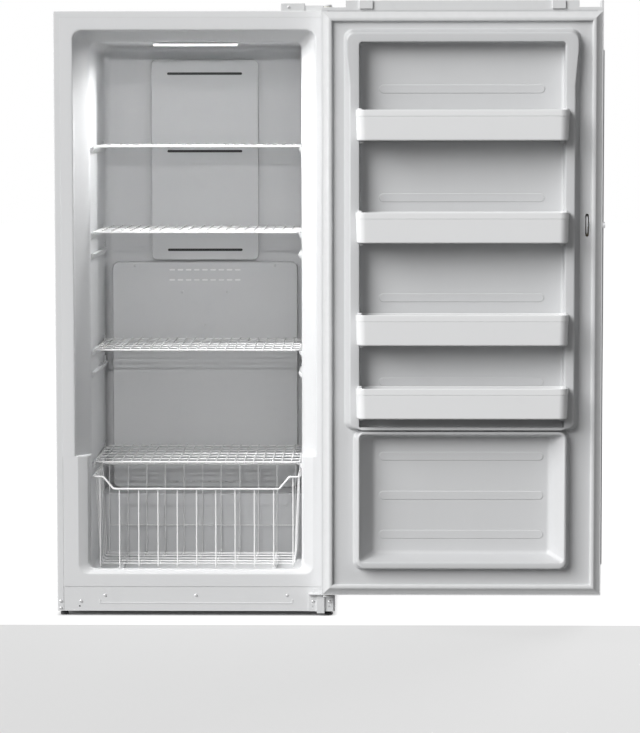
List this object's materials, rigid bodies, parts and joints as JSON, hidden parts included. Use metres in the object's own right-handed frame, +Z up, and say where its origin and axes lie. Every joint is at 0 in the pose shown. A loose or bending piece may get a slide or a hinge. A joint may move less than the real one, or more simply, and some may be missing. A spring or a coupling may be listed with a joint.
{
  "type": "upright freezer",
  "caption": "Free-standing single-door upright freezer with wire shelves, a wire basket, door bins and a turning lock, its door swung fully open.",
  "frame": {"origin": "point on the floor under the middle of the cabinet's front edge", "axes": "+Z up, +Y from the front of the cabinet to its back, +X to the right as the user faces it"},
  "size_m": [1.64, 0.84, 1.841],
  "materials": {
    "enamel": "smooth white enamel on steel",
    "zinc_sheet": "plain zinc-coated sheet",
    "foam": "rigid blown foam, never seen",
    "liner": "white vacuum-formed sheet, satin",
    "cover": "white moulding, satin",
    "gasket": "soft pale grey vinyl",
    "wire": "white coated wire",
    "fin": "bare aluminium",
    "pot": "black paint, semi-gloss",
    "black_moulding": "black moulding",
    "black_rubber": "black rubber",
    "copper_tube": "bare copper tube",
    "white_moulding": "white moulding, semi-gloss",
    "lens": "frosted white lens",
    "bin": "white moulding, glossy",
    "bright_metal": "bright plated metal",
    "nylon": "white nylon"
  },
  "bodies": {
    "cabinet": {"cabinet_wrapper": "enamel", "inner_liner": "liner", "cabinet_foam": "foam", "bulkhead": "zinc_sheet", "back_panel": "zinc_sheet", "base_frame": "zinc_sheet", "kick_plate": "enamel", "duct_cover": "cover", "evaporator_cover": "cover", "evaporator_coil": "fin", "defrost_heater": "bright_metal", "drain_trough": "white_moulding", "drain_tube": "white_moulding", "evaporator_fan_motor": "black_moulding", "compressor": "pot", "compressor_grommets": "black_rubber", "condenser": "fin", "refrigerant_lines": "copper_tube", "condenser_shroud": "zinc_sheet", "condenser_fan_motor": "pot", "drain_pan": "black_moulding", "rear_cover": "zinc_sheet", "light_base": "white_moulding", "light_lens": "lens", "shelf_ledges": "white_moulding", "top_hinge_bracket": "enamel", "top_hinge_cover": "white_moulding", "lower_hinge_bracket": "bright_metal", "hinge_washers": "nylon", "kick_plate_screws": "bright_metal", "cover_screws": "enamel", "top_hinge_screws": "bright_metal", "lower_hinge_screws": "bright_metal"},
    "foot_front_left": {"foot_front_left": "black_moulding"},
    "foot_rear_left": {"foot_rear_left": "black_moulding"},
    "foot_front_right": {"foot_front_right": "black_moulding"},
    "foot_rear_right": {"foot_rear_right": "black_moulding"},
    "evaporator_fan_rotor": {"evaporator_fan": "white_moulding"},
    "condenser_fan_rotor": {"condenser_fan": "black_moulding"},
    "shelf_1": {"shelf_1_wires": "wire"},
    "shelf_2": {"shelf_2_wires": "wire"},
    "shelf_3": {"shelf_3_wires": "wire"},
    "shelf_4": {"shelf_4_wires": "wire"},
    "pull_out_basket": {"basket": "wire"},
    "door": {"door_skin": "enamel", "door_foam": "foam", "door_liner": "liner", "door_gasket": "gasket", "door_bottom_cap": "white_moulding", "door_top_cap": "white_moulding", "door_bushes": "nylon", "door_handle": "white_moulding", "lock_case": "bright_metal"},
    "lock": {"lock_barrel": "bright_metal", "lock_cam": "white_moulding"},
    "bin_1": {"door_bin_1": "bin"},
    "bin_2": {"door_bin_2": "bin"},
    "bin_3": {"door_bin_3": "bin"},
    "bin_4": {"door_bin_4": "bin"}
  },
  "joints": [
    {"name": "door_hinge", "type": "hinge", "parent": "cabinet", "child": "door", "pos_m": [0.398, -0.04, 0], "axis": [0, 0, 1], "range_deg": [-180, 0]},
    {"name": "lock_turn", "type": "hinge", "parent": "door", "child": "lock", "pos_m": [1.194, -0.048, 1.179], "axis": [1, 0, 0], "range_deg": [0, 90]},
    {"name": "basket_slide", "type": "slide", "parent": "cabinet", "child": "pull_out_basket", "axis": [0, -1, 0], "range_m": [0, 0.25]},
    {"name": "shelf_1_slide", "type": "slide", "parent": "cabinet", "child": "shelf_1", "axis": [0, -1, 0], "range_m": [0, 0.3]},
    {"name": "shelf_2_slide", "type": "slide", "parent": "cabinet", "child": "shelf_2", "axis": [0, -1, 0], "range_m": [0, 0.3]},
    {"name": "shelf_3_slide", "type": "slide", "parent": "cabinet", "child": "shelf_3", "axis": [0, -1, 0], "range_m": [0, 0.3]},
    {"name": "shelf_4_slide", "type": "slide", "parent": "cabinet", "child": "shelf_4", "axis": [0, -1, 0], "range_m": [0, 0.3]},
    {"name": "bin_1_lift", "type": "slide", "parent": "door", "child": "bin_1", "axis": [0, 0, 1], "range_m": [0, 0.03]},
    {"name": "bin_2_lift", "type": "slide", "parent": "door", "child": "bin_2", "axis": [0, 0, 1], "range_m": [0, 0.03]},
    {"name": "bin_3_lift", "type": "slide", "parent": "door", "child": "bin_3", "axis": [0, 0, 1], "range_m": [0, 0.03]},
    {"name": "bin_4_lift", "type": "slide", "parent": "door", "child": "bin_4", "axis": [0, 0, 1], "range_m": [0, 0.03]},
    {"name": "foot_front_left_turn", "type": "hinge", "parent": "cabinet", "child": "foot_front_left", "pos_m": [-0.4, 0.03, 0.02], "axis": [0, 0, 1], "range_deg": [0, 1080]},
    {"name": "foot_front_right_turn", "type": "hinge", "parent": "cabinet", "child": "foot_front_right", "pos_m": [0.4, 0.03, 0.02], "axis": [0, 0, 1], "range_deg": [0, 1080]},
    {"name": "foot_rear_left_turn", "type": "hinge", "parent": "cabinet", "child": "foot_rear_left", "pos_m": [-0.4, 0.655, 0.02], "axis": [0, 0, 1], "range_deg": [0, 1080]},
    {"name": "foot_rear_right_turn", "type": "hinge", "parent": "cabinet", "child": "foot_rear_right", "pos_m": [0.4, 0.655, 0.02], "axis": [0, 0, 1], "range_deg": [0, 1080]},
    {"name": "evaporator_fan_spin", "type": "hinge", "parent": "cabinet", "child": "evaporator_fan_rotor", "pos_m": [0, 0.605, 0.925], "axis": [0, -1, 0], "continuous": true},
    {"name": "condenser_fan_spin", "type": "hinge", "parent": "cabinet", "child": "condenser_fan_rotor", "pos_m": [-0.22, 0.575, 0.11], "axis": [-1, 0, 0], "continuous": true}
  ]
}
